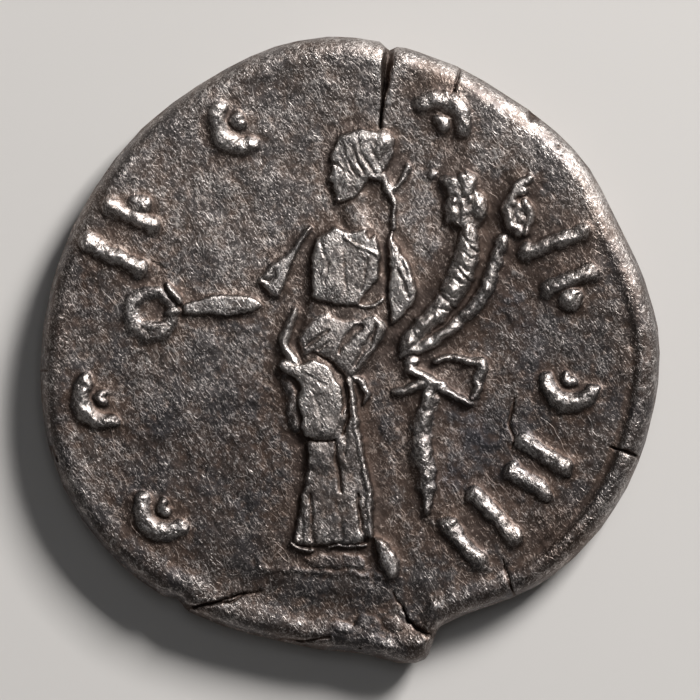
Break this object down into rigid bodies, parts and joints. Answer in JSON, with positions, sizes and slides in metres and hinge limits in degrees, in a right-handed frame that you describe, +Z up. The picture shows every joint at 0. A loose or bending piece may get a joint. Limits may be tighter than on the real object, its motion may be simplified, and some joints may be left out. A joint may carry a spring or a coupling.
{
  "type": "denarius coin",
  "caption": "Worn, slightly irregular struck silver coin that lies flat, with a draped standing figure on its upper face.",
  "frame": {"origin": "middle of the coin's outline in plan, at the height of the surface the coin lies on", "axes": "+Z points up out of the upper face, +Y towards the figure's head, +X to the right of the upper face as it is looked down on"},
  "size_m": [0.018, 0.0182, 0.0019],
  "materials": {
    "silver": "dark toned silver, worn brighter on the high places"
  },
  "bodies": {
    "root": {"coin": "silver"}
  },
  "joints": []
}
